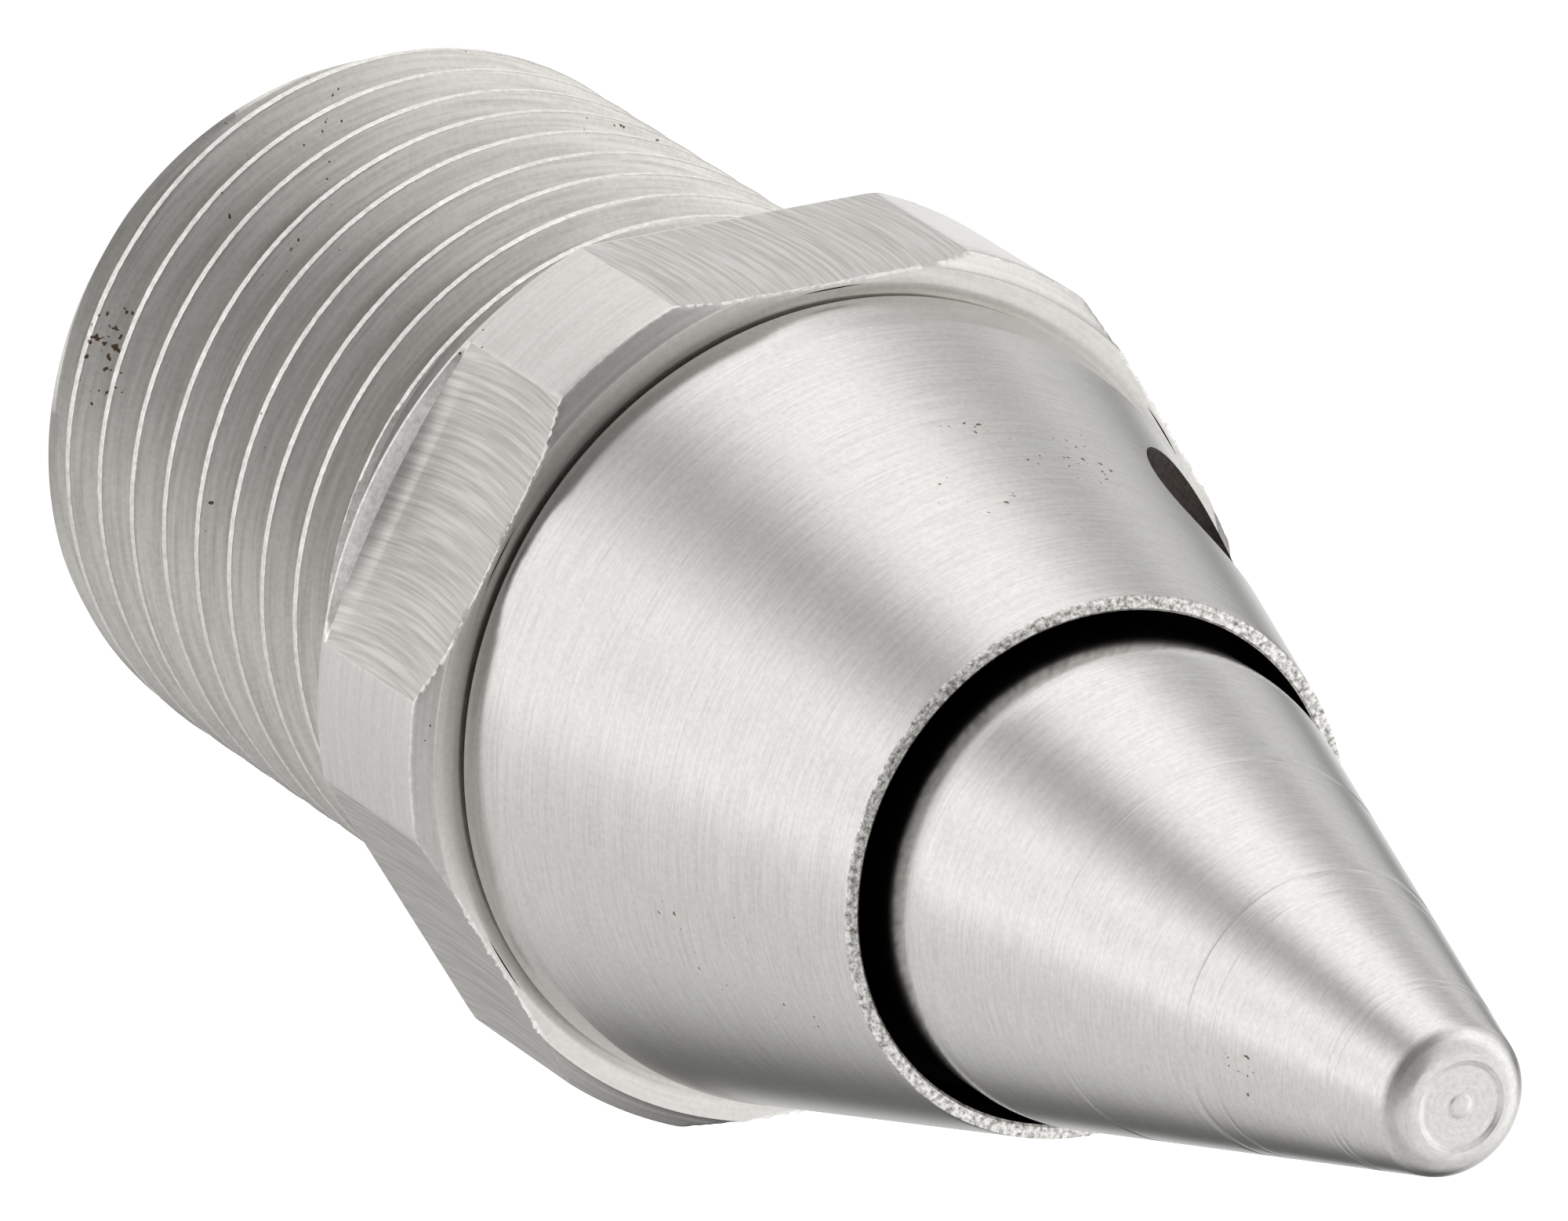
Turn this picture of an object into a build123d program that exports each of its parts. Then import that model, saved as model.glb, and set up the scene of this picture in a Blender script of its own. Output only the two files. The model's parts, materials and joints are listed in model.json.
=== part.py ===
# Live center with a threaded shank: turned shank with a milled wrench collar, screwed-on nose cap,
# and a separate point that turns on a ball bearing, a thrust bearing and a rear needle bearing.
# Millimetres. Axis along +Z, rear end face on Z = 0, point upwards. One flat faces +X.
import math
import os

from build123d import *

os.makedirs("parts", exist_ok=True)

# ---- driving dimensions ----
thread_diameter = 16.0          # M16 x 1.5 shank thread
thread_pitch = 1.5
thread_phase = 1.24             # height of the groove on the +X side above a whole pitch
shank_length = 16.92            # rear end face to the collar
relief_length = 2.02            # thread run-out groove behind the collar
relief_slope_length = 0.93      # the groove's sloping rear wall, floor to crest
collar_length = 4.51
across_flats = 18.0
corner_height = 0.70            # how far the round corners stand out beyond the flats
flat_lip = 0.15                 # thin lens the cutter left at the rear of the flats that face +X and -X
spigot_length = 2.90
cap_rim_length = 1.32
cap_rim_wall = 1.69             # rim radius beyond the spigot
cap_rim_taper = 7.6             # degrees
cap_length = 11.20              # collar to lip
cap_half_angle = 15.3           # degrees
lip_wall = 0.315
lip_gap = 0.41                  # ring-shaped gap round the point
spanner_hole_diameter = 4.2
spanner_hole_depth = 1.2
spanner_hole_angle = -114.9     # degrees from +X
spanner_hole_from_lip = 6.10
point_half_angle = 15.08        # degrees
point_base_above_lip = 1.51
point_length = 13.25            # cone, base edge to tip face
tip_round = 0.71
collar_edge = 0.4               # chamfer of the collar's front edge, with its corners rounded off
collar_edge_round = 0.3
cap_edge = 0.12                 # broken edge of the cap's rim
lip_edge = 0.05

ball_diameter = 1.588           # 1/16 inch balls in both ball bearings
front_bore, front_outside, front_width, front_ball_count = 5.0, 11.0, 5.0, 8
thrust_bore, thrust_outside, thrust_height, thrust_ball_count = 5.0, 10.0, 4.0, 10
needle_bore, needle_outside, needle_length, roller_count = 4.0, 8.0, 8.0, 8
roller_diameter = 1.48
lock_nut_thickness = 2.1
tab_washer_thickness = 0.3
shim_thickness = 0.3
web_thickness = 2.0             # wall between the thrust seat and the needle bore
disc_spring_height = 0.5
shoulder_thickness = 0.5        # cap shoulder ahead of the disc spring
plug_diameter = 9.0
tail_room = 1.93                # free space between the spindle's tail and the plug
plug_recess = 0.5
o_ring_section = 0.9
plug_socket = 4.0               # hexagon key size
race_edge = 0.15
shield_thickness = 0.25
spring_thickness = 0.22
tail_washer_thickness = 0.3
circlip_thickness = 0.4
slot_width = 1.2                # spanner slots of the lock nut
slot_depth = 0.8
tab_reach = 0.7                 # tab bent into a lock nut slot

# ---- clearances ----
seat_gap = 0.01                 # pieces fitted together by hand or pressed, radial
thread_fit_gap = 0.02           # screwed fits drawn plain, radial
rolling_gap = 0.01              # ball or roller to race
pocket_gap = 0.04               # ball or roller to cage
running_gap = 0.10              # parts that pass each other while turning
shaft_hole_gap = 0.15           # plain holes the spindle passes through
slack_gap = 0.20                # axial play of the tail washer

# ---- radii and heights worked out from them ----
thread_r = thread_diameter / 2
thread_depth = 0.6134 * thread_pitch
minor_r = thread_r - thread_depth
relief_r = minor_r - 0.13
ball_r = ball_diameter / 2

collar_rear = shank_length
collar_front = collar_rear + collar_length
spigot_end = collar_front + spigot_length
lip_z = collar_front + cap_length

thrust_bore_r = thrust_outside / 2 + 0.05
spigot_r = front_outside / 2 + 1.5
rim_r = spigot_r + cap_rim_wall
flat_apothem = across_flats / 2
collar_r = flat_apothem + corner_height
cone_base_z = collar_front + cap_rim_length
cone_base_r = rim_r - cap_rim_length * math.tan(math.radians(cap_rim_taper))
cone_slope = math.tan(math.radians(cap_half_angle))


def cone_radius(z):
    return cone_base_r - (z - cone_base_z) * cone_slope


lip_r = cone_radius(lip_z)
lip_bore_r = lip_r - lip_wall

front_low = spigot_end
front_high = front_low + front_width
front_mid = (front_low + front_high) / 2
spring_high = front_high + disc_spring_height
shoulder_high = spring_high + shoulder_thickness
front_pitch_r = (front_bore + front_outside) / 4
inner_land_r = front_pitch_r - ball_r + 0.25
outer_land_r = front_pitch_r + ball_r - 0.25
shield_r = outer_land_r + 0.3
seat_r = front_outside / 2 + seat_gap

tab_low = front_low - tab_washer_thickness
nut_low = tab_low - lock_nut_thickness
thrust_high = nut_low
thrust_low = thrust_high - thrust_height
thrust_pitch_r = (thrust_bore + thrust_outside) / 4
thrust_space = 1.30
washer_thickness = (thrust_height - thrust_space) / 2
thrust_mid = (thrust_low + thrust_high) / 2
thrust_seat = thrust_low - shim_thickness
web_low = thrust_seat - web_thickness

needle_high = web_low
needle_low = needle_high - needle_length
needle_pitch_r = needle_bore / 2 + rolling_gap + roller_diameter / 2
cup_inner_r = needle_pitch_r + roller_diameter / 2 + rolling_gap
roller_margin = 1.2             # cup end to roller end
tail_washer_high = needle_low - slack_gap
tail_washer_low = tail_washer_high - tail_washer_thickness
circlip_low = tail_washer_low - circlip_thickness
tail_end = circlip_low - 0.8

plug_r = plug_diameter / 2
plug_high = tail_end - tail_room
plug_length = plug_high - plug_recess
plug_step = plug_high + o_ring_section - 0.1

front_journal_r = front_bore / 2
rear_journal_r = needle_bore / 2
neck_r = inner_land_r - 0.1
head_low = shoulder_high + 0.62
head_r = lip_bore_r - lip_gap
point_base = lip_z + point_base_above_lip
tip_z = point_base + point_length
tip_corner_r = head_r - point_length * math.tan(math.radians(point_half_angle))
circlip_groove_r = rear_journal_r - 0.4

o_ring_floor_r = spigot_r - 0.70
o_ring_r = (spigot_r + thread_fit_gap - o_ring_floor_r) / 2


# Revolves a closed outline of (radius, height) corners; rounds lists (radius, height, round) corners.
def turned(outline, rounds=()):
    with BuildPart() as piece:
        with BuildSketch(Plane.XZ) as section:
            with BuildLine():
                Polyline(*outline, close=True)
            make_face()
            for r, z, rounding in rounds:
                corner = section.vertices().sort_by_distance((r, z, 0))[0]
                fillet(corner, rounding)
        revolve(axis=Axis.Z)
    return piece


def ring(inner_r, outer_r, low, high, edge=0.0):
    if edge == 0.0:
        return turned([(inner_r, low), (outer_r, low), (outer_r, high), (inner_r, high)])
    return turned([
        (inner_r + edge, low), (outer_r - edge, low), (outer_r, low + edge), (outer_r, high - edge),
        (outer_r - edge, high), (inner_r + edge, high), (inner_r, high - edge), (inner_r, low + edge)])


def save(piece, name):
    piece.part.label = name
    export_step(piece.part, "parts/" + name + ".step")


# ---- shank body ----
# Groove of the 60 degree thread, from below the rear face into the run-out relief.
groove_start = -2 * thread_pitch + thread_phase
relief_start = collar_rear - relief_length
run_out = 1.05                  # furthest the groove carries on into the relief
# It stops a quarter or three quarters of the way round, never on the rod's seam, where the cut would be lost.
groove_turns = (math.floor((relief_start + run_out - groove_start) / thread_pitch * 2 - 0.5) + 0.5) / 2
root_half = thread_pitch / 12
flank_rise = math.tan(math.radians(30))
groove_top_r = thread_r + thread_pitch / 15     # just under a pitch wide there, so turns stay apart
groove_top_half = root_half + (groove_top_r - minor_r) * flank_rise
with BuildPart() as thread_groove:
    with BuildLine() as groove_path:
        Helix(pitch=thread_pitch, height=groove_turns * thread_pitch, radius=thread_r,
              center=(0, 0, groove_start))
    with BuildSketch(Plane.XZ):
        with BuildLine():
            Polyline((minor_r, groove_start - root_half), (groove_top_r, groove_start - groove_top_half),
                     (groove_top_r, groove_start + groove_top_half), (minor_r, groove_start + root_half),
                     close=True)
        make_face()
    sweep(path=groove_path.line, is_frenet=True)

# The thread is cut in a plain rod first; the end chamfer and the run-out relief are turned after it.
beyond = 1.0                    # how far the cutters start outside the metal
rod_blank = turned([(0, 0), (thread_r, 0), (thread_r, collar_rear + 0.1), (0, collar_rear + 0.1)])
chamfer_reach = thread_depth + 0.1              # 45 degrees, to just below the thread's root
end_chamfer = turned([
    (thread_r - chamfer_reach - beyond, -beyond), (thread_r + beyond, -beyond),
    (thread_r + beyond, chamfer_reach + beyond)])
relief_rise = thread_r - relief_r
relief_cut_r = thread_r + relief_rise           # the slope carried on past the crest
relief_cut = turned([
    (relief_r, relief_start), (relief_cut_r, relief_start - 2 * relief_slope_length),
    (relief_cut_r, collar_rear), (relief_r, collar_rear)])
o_ring_groove_end = collar_front + 1.0
collar_blank = turned(
    [(0, collar_rear), (collar_r - 0.1, collar_rear), (collar_r, collar_rear + 0.1),
     (collar_r, collar_front - collar_edge), (collar_r - collar_edge, collar_front),
     (o_ring_floor_r, collar_front), (o_ring_floor_r, o_ring_groove_end), (spigot_r, o_ring_groove_end),
     (spigot_r, spigot_end - 0.2), (spigot_r - 0.2, spigot_end), (0, spigot_end)],
    rounds=[(collar_r, collar_front - collar_edge, collar_edge_round),
            (collar_r - collar_edge, collar_front, collar_edge_round)])
plug_bore_r = plug_r + thread_fit_gap
plug_bore_chamfer = 0.3
needle_seat_r = needle_outside / 2 + seat_gap
web_hole_r = front_bore / 2 + shaft_hole_gap
bore_cut = turned([
    (0, -beyond), (plug_bore_r + plug_bore_chamfer + beyond, -beyond), (plug_bore_r, plug_bore_chamfer),
    (plug_bore_r, plug_step), (needle_seat_r, plug_step), (needle_seat_r, web_low),
    (web_hole_r, web_low), (web_hole_r, thrust_seat), (thrust_bore_r, thrust_seat),
    (thrust_bore_r, spigot_end + beyond), (0, spigot_end + beyond)])
with BuildPart() as shank_body:
    add(rod_blank.part)
    add(thread_groove.part, mode=Mode.SUBTRACT)
    add(end_chamfer.part, mode=Mode.SUBTRACT)
    add(relief_cut.part, mode=Mode.SUBTRACT)
    add(collar_blank.part)
    add(bore_cut.part, mode=Mode.SUBTRACT)
    # six milled flats along the whole collar; the pair across X stops at a thin lip
    with BuildSketch(Plane.XY.offset(collar_rear)):
        Circle(collar_r + beyond)
        RegularPolygon(flat_apothem, 6, major_radius=False, rotation=30, mode=Mode.SUBTRACT)
        with Locations((collar_r, 0), (-collar_r, 0)):
            Rectangle(2 * (collar_r - flat_apothem), flat_apothem, mode=Mode.SUBTRACT)
    extrude(amount=flat_lip, mode=Mode.SUBTRACT)
    with BuildSketch(Plane.XY.offset(collar_rear + flat_lip)):
        Circle(collar_r + beyond)
        RegularPolygon(flat_apothem, 6, major_radius=False, rotation=30, mode=Mode.SUBTRACT)
    extrude(amount=collar_length - flat_lip, mode=Mode.SUBTRACT)
save(shank_body, "shank_body")

# ---- nose cap ----
cap_bore_r = spigot_r + thread_fit_gap
cap_bore_end = spigot_end + 0.1
cap_mouth = 0.15                # chamfer that lets the spigot in
shoulder_r = outer_land_r + 0.15
nose_cap_blank = turned([
    (cap_bore_r + cap_mouth, collar_front), (rim_r - cap_edge, collar_front),
    (rim_r, collar_front + cap_edge),
    (cone_base_r, cone_base_z), (lip_r, lip_z - lip_edge), (lip_r - lip_edge, lip_z),
    (lip_bore_r + lip_edge, lip_z), (lip_bore_r, lip_z - lip_edge), (lip_bore_r, shoulder_high),
    (shoulder_r, shoulder_high), (shoulder_r, spring_high), (seat_r, spring_high), (seat_r, cap_bore_end),
    (cap_bore_r, cap_bore_end), (cap_bore_r, collar_front + cap_mouth)])
spanner_hole_z = lip_z - spanner_hole_from_lip
hole_floor_r = cone_radius(spanner_hole_z) - spanner_hole_depth
hole_cos = math.cos(math.radians(spanner_hole_angle))
hole_sin = math.sin(math.radians(spanner_hole_angle))
with BuildPart() as nose_cap:
    add(nose_cap_blank.part)
    # blind radial hole for a pin spanner
    with BuildSketch(Plane(origin=(hole_floor_r * hole_cos, hole_floor_r * hole_sin, spanner_hole_z),
                           z_dir=(hole_cos, hole_sin, 0))):
        Circle(spanner_hole_diameter / 2)
    extrude(amount=spanner_hole_depth + 2 * beyond, mode=Mode.SUBTRACT)
save(nose_cap, "nose_cap")

# ---- point spindle ----
tail_chamfer = 0.3
head_chamfer = 0.15
groove_low = circlip_low - 0.02
journal_step_low = web_low + 0.2                # taper between the two journals
journal_step_high = web_low + 0.5
point_spindle = turned([
    (0, tail_end), (rear_journal_r - tail_chamfer, tail_end), (rear_journal_r, tail_end + tail_chamfer),
    (rear_journal_r, groove_low), (circlip_groove_r, groove_low), (circlip_groove_r, tail_washer_low),
    (rear_journal_r, tail_washer_low), (rear_journal_r, journal_step_low),
    (front_journal_r, journal_step_high), (front_journal_r, front_high), (neck_r, front_high),
    (neck_r, head_low), (head_r - head_chamfer, head_low), (head_r, head_low + head_chamfer),
    (head_r, point_base), (tip_corner_r, tip_z), (0, tip_z)],
    rounds=[(tip_corner_r, tip_z, tip_round)])
save(point_spindle, "point_spindle")

# ---- front ball bearing ----
race_r = front_outside / 2
shield_step = shield_thickness + 0.1            # depth of the ledge each shield sits on
front_bearing_outer_race_blank = turned([
    (shield_r, front_low), (race_r - race_edge, front_low), (race_r, front_low + race_edge),
    (race_r, front_high - race_edge), (race_r - race_edge, front_high), (shield_r, front_high),
    (shield_r, front_high - shield_step), (outer_land_r, front_high - shield_step),
    (outer_land_r, front_low + shield_step), (shield_r, front_low + shield_step)])
with BuildPart() as front_bearing_outer_race:
    add(front_bearing_outer_race_blank.part)
    with Locations((0, 0, front_mid)):
        Torus(front_pitch_r, ball_r + rolling_gap, mode=Mode.SUBTRACT)
save(front_bearing_outer_race, "front_bearing_outer_race")

front_bearing_inner_race_blank = ring(
    front_journal_r + seat_gap, inner_land_r, front_low, front_high, race_edge)
with BuildPart() as front_bearing_inner_race:
    add(front_bearing_inner_race_blank.part)
    with Locations((0, 0, front_mid)):
        Torus(front_pitch_r, ball_r + rolling_gap, mode=Mode.SUBTRACT)
save(front_bearing_inner_race, "front_bearing_inner_race")

with BuildPart() as front_bearing_balls:
    with Locations((0, 0, front_mid)):
        with PolarLocations(front_pitch_r, front_ball_count):
            Sphere(ball_r)
save(front_bearing_balls, "front_bearing_balls")

# crown cage: a ring behind the balls with prongs between them
front_bearing_cage_blank = ring(
    inner_land_r + running_gap, outer_land_r - running_gap, front_mid - ball_r - 0.55, front_mid + 0.35)
with BuildPart() as front_bearing_cage:
    add(front_bearing_cage_blank.part)
    with Locations((0, 0, front_mid)):
        with PolarLocations(front_pitch_r, front_ball_count):
            Sphere(ball_r + pocket_gap, mode=Mode.SUBTRACT)
save(front_bearing_cage, "front_bearing_cage")

shield_inner_r = inner_land_r + running_gap
shield_outer_r = shield_r - seat_gap
shield_inset = 0.05             # below the race's end faces
front_shield_high = front_high - shield_inset
rear_shield_low = front_low + shield_inset
save(ring(shield_inner_r, shield_outer_r, front_shield_high - shield_thickness, front_shield_high),
     "front_bearing_front_shield")
save(ring(shield_inner_r, shield_outer_r, rear_shield_low, rear_shield_low + shield_thickness),
     "front_bearing_rear_shield")

# ---- disc spring between the cap's shoulder and the outer race ----
spring_outer_r = seat_r - 0.06
spring_inner_r = outer_land_r + 0.2
preload_disc_spring = turned([
    (spring_outer_r, front_high), (spring_outer_r, front_high + spring_thickness),
    (spring_inner_r, spring_high), (spring_inner_r, spring_high - spring_thickness)])
save(preload_disc_spring, "preload_disc_spring")

# ---- seal that turns with the neck, lip leaning towards the cap's shoulder ----
seal_body_r = neck_r + 0.75
seal_fold_r = outer_land_r - 0.05
seal_lip_r = outer_land_r + 0.35
seal_lip_low = shoulder_high + 0.12             # just clear of the shoulder
neck_seal = turned([
    (neck_r + seat_gap, spring_high), (seal_body_r, spring_high), (seal_body_r, shoulder_high - 0.05),
    (seal_fold_r, seal_lip_low + 0.03), (seal_lip_r, seal_lip_low), (seal_lip_r - 0.05, seal_lip_low + 0.18),
    (seal_body_r, head_low), (neck_r + seat_gap, head_low)])
save(neck_seal, "neck_seal")

# ---- lock nut with four slots, and its tab washer ----
nut_r = inner_land_r + 0.45
slot_floor_r = nut_r - slot_depth
bearing_lock_nut_blank = ring(front_journal_r + seat_gap, nut_r, nut_low, tab_low, 0.1)
with BuildPart() as bearing_lock_nut:
    add(bearing_lock_nut_blank.part)
    with BuildSketch(Plane.XY.offset(nut_low)):
        with PolarLocations(slot_floor_r + beyond, 4):
            Rectangle(2 * beyond, slot_width)
    extrude(amount=lock_nut_thickness, mode=Mode.SUBTRACT)
save(bearing_lock_nut, "bearing_lock_nut")

lock_tab_washer_blank = ring(front_journal_r + seat_gap, slot_floor_r + 0.15, tab_low, front_low)
with BuildPart() as lock_tab_washer:
    add(lock_tab_washer_blank.part)
    with BuildSketch(Plane.XY.offset(tab_low - tab_reach)):
        with Locations((slot_floor_r + 0.35, 0)):
            Rectangle(0.5, slot_width - 2 * running_gap)
    extrude(amount=tab_reach + tab_washer_thickness)
save(lock_tab_washer, "lock_tab_washer")

# ---- thrust ball bearing ----
washer_edge = 0.1
thrust_shaft_washer_blank = ring(
    front_journal_r + seat_gap, thrust_bore_r - shaft_hole_gap,
    thrust_high - washer_thickness, thrust_high, washer_edge)
with BuildPart() as thrust_shaft_washer:
    add(thrust_shaft_washer_blank.part)
    with Locations((0, 0, thrust_mid)):
        Torus(thrust_pitch_r, ball_r + rolling_gap, mode=Mode.SUBTRACT)
save(thrust_shaft_washer, "thrust_shaft_washer")

thrust_housing_washer_blank = ring(
    web_hole_r, thrust_bore_r - seat_gap, thrust_low, thrust_low + washer_thickness, washer_edge)
with BuildPart() as thrust_housing_washer:
    add(thrust_housing_washer_blank.part)
    with Locations((0, 0, thrust_mid)):
        Torus(thrust_pitch_r, ball_r + rolling_gap, mode=Mode.SUBTRACT)
save(thrust_housing_washer, "thrust_housing_washer")

with BuildPart() as thrust_balls:
    with Locations((0, 0, thrust_mid)):
        with PolarLocations(thrust_pitch_r, thrust_ball_count):
            Sphere(ball_r)
save(thrust_balls, "thrust_balls")

cage_half_width = ball_r + 0.25
thrust_cage_blank = ring(
    thrust_pitch_r - cage_half_width, thrust_pitch_r + cage_half_width, thrust_mid - 0.4, thrust_mid + 0.4)
with BuildPart() as thrust_cage:
    add(thrust_cage_blank.part)
    with Locations((0, 0, thrust_mid)):
        with PolarLocations(thrust_pitch_r, thrust_ball_count):
            Sphere(ball_r + pocket_gap, mode=Mode.SUBTRACT)
save(thrust_cage, "thrust_cage")

save(ring(web_hole_r, thrust_bore_r - seat_gap, thrust_seat, thrust_low), "thrust_shim")

# ---- rear needle bearing ----
cup_outer_r = needle_outside / 2
cup_lip_r = rear_journal_r + shaft_hole_gap
cup_lip = 0.35
cup_edge = 0.2
needle_cup = turned([
    (cup_lip_r, needle_low), (cup_outer_r - cup_edge, needle_low), (cup_outer_r, needle_low + cup_edge),
    (cup_outer_r, needle_high - cup_edge), (cup_outer_r - cup_edge, needle_high), (cup_lip_r, needle_high),
    (cup_lip_r, needle_high - cup_lip), (cup_inner_r, needle_high - cup_lip),
    (cup_inner_r, needle_low + cup_lip), (cup_lip_r, needle_low + cup_lip)])
save(needle_cup, "needle_cup")

roller_length = needle_length - 2 * roller_margin
with BuildPart() as needle_rollers:
    with BuildSketch(Plane.XY.offset(needle_low + roller_margin)):
        with PolarLocations(needle_pitch_r, roller_count):
            Circle(roller_diameter / 2)
    extrude(amount=roller_length)
    chamfer(needle_rollers.edges().filter_by(GeomType.CIRCLE), 0.1)
save(needle_rollers, "needle_rollers")

cage_end_gap = cup_lip + 0.15
needle_cage_blank = ring(
    cup_lip_r + running_gap, cup_inner_r - 0.12, needle_low + cage_end_gap, needle_high - cage_end_gap)
with BuildPart() as needle_cage:
    add(needle_cage_blank.part)
    with BuildSketch(Plane.XY.offset(needle_low + roller_margin - pocket_gap)):
        with PolarLocations(needle_pitch_r, roller_count):
            Circle(roller_diameter / 2 + pocket_gap)
    extrude(amount=roller_length + 2 * pocket_gap, mode=Mode.SUBTRACT)
save(needle_cage, "needle_cage")

# ---- tail washer and circlip ----
save(ring(rear_journal_r + seat_gap, rear_journal_r + 1.4, tail_washer_low, tail_washer_high),
     "tail_washer")
circlip_r = rear_journal_r + 1.0
tail_circlip_blank = ring(
    circlip_groove_r + seat_gap, circlip_r, circlip_low, tail_washer_low - rolling_gap)
with BuildPart() as tail_circlip:
    add(tail_circlip_blank.part)
    with BuildSketch(Plane.XY.offset(circlip_low)):
        with Locations((circlip_r, 0)):     # open side
            Rectangle(2 * circlip_r, 2 * circlip_groove_r - 0.4)
    extrude(amount=circlip_thickness, mode=Mode.SUBTRACT)
save(tail_circlip, "tail_circlip")

# ---- O-ring at the root of the spigot ----
with BuildPart() as cap_o_ring:
    with Locations((0, 0, (collar_front + o_ring_groove_end) / 2)):
        Torus(o_ring_floor_r + o_ring_r, o_ring_r - rolling_gap / 2)
save(cap_o_ring, "cap_o_ring")

# ---- rear plug with a hexagon socket, and its O-ring ----
plug_chamfer = 0.3
rear_plug_blank = turned([
    (0, plug_recess), (plug_r - plug_chamfer, plug_recess), (plug_r, plug_recess + plug_chamfer),
    (plug_r, plug_high), (0, plug_high)])
with BuildPart() as rear_plug:
    add(rear_plug_blank.part)
    with BuildSketch(Plane.XY.offset(plug_recess)):
        RegularPolygon(plug_socket / 2, 6, major_radius=False)
    extrude(amount=0.63 * plug_length, mode=Mode.SUBTRACT)
save(rear_plug, "rear_plug")

plug_ring_r = (plug_step - plug_high) / 2
with BuildPart() as plug_o_ring:
    with Locations((0, 0, plug_high + plug_ring_r)):
        Torus(plug_r - plug_ring_r, plug_ring_r - rolling_gap / 2)
save(plug_o_ring, "plug_o_ring")

print("length", round(tip_z, 2), "collar", round(2 * collar_r, 2),
      "lip", round(lip_r, 3), "point", round(head_r, 3))
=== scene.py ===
# Live center with a threaded shank, standing on its rear end face on a pale studio floor
import json
import math

import bmesh
import bpy
import numpy as np
from mathutils import Matrix, Vector, noise


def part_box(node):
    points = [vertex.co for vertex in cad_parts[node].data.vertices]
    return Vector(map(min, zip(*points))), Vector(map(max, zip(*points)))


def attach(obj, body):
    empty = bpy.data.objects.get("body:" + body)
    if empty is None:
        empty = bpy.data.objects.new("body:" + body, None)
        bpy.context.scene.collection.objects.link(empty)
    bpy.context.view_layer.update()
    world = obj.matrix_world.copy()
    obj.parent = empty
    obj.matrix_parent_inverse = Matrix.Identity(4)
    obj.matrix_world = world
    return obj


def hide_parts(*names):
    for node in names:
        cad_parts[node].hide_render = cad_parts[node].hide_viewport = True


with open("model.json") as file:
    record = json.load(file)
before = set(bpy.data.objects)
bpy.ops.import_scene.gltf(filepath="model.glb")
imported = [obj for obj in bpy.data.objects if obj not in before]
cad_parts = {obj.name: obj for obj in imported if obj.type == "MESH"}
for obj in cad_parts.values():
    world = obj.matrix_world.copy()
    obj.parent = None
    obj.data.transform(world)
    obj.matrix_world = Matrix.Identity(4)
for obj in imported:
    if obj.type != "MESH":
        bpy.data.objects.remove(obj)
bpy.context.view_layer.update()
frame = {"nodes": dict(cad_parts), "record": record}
print("frame loaded with", len(frame["nodes"]), "nodes")

mm = 0.001
turn = 2 * math.pi


def linearColour(hexText, alpha=1.0):  # sRGB hex to linear
    channels = [int(hexText[i:i + 2], 16) / 255 for i in (1, 3, 5)]
    return [c / 12.92 if c <= 0.04045 else ((c + 0.055) / 1.055) ** 2.4 for c in channels] + [alpha]


def addNode(tree, kind, settings=None, links=None):  # settings go to sockets or properties, links to sockets
    node = tree.nodes.new("ShaderNode" + kind)
    for key, value in (settings or {}).items():
        if isinstance(key, int) or key in node.inputs:
            node.inputs[key].default_value = value
        else:
            setattr(node, key, value)
    for key, output in (links or {}).items():
        tree.links.new(output, node.inputs[key])
    return node


def newMaterial(name):
    material = bpy.data.materials.new(name)
    material.use_nodes = True
    tree = material.node_tree
    return material, tree, tree.nodes["Principled BSDF"]


def waver(seed, *place):  # smooth noise from -1 to 1, the same on each run
    x, y, z = (list(place) + [0.0, 0.0])[:3]
    return noise.noise(Vector((x + 17.3 * seed, y - 9.1 * seed, z + 5.7 * seed)))


def softMin(first, second, softness):  # the smaller of two sizes, with the corner between them eased
    low = np.minimum(first, second)
    return low - softness * np.log(np.exp((low - first) / softness) + np.exp((low - second) / softness)) * (
        np.abs(first - second) < 8 * softness)


# CAD places in millimetres; each piece's own sizes stand beside its code
lowMm = {node: [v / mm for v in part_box(node)[0]] for node in frame["nodes"]}
highMm = {node: [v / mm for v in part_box(node)[1]] for node in frame["nodes"]}

columns = 1080  # mesh columns once round a turned piece


def patch(rows, count):
    # rows of (radius, height) in mm, each a number or one value per column; the last column closes the turn
    angles = np.linspace(0, turn, count + 1)
    radii = np.array([np.broadcast_to(r, count + 1) for r, z in rows], float)
    heights = np.array([np.broadcast_to(z, count + 1) for r, z in rows], float)
    points = np.stack([radii * np.cos(angles), radii * np.sin(angles), heights], axis=2).reshape(-1, 3) * mm
    i, c = np.meshgrid(np.arange(len(rows) - 1), np.arange(count), indexing="ij")
    corner = i * (count + 1) + c
    faces = np.stack([corner, corner + 1, corner + count + 2, corner + count + 1], axis=2).reshape(-1, 4)
    return points, faces


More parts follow.
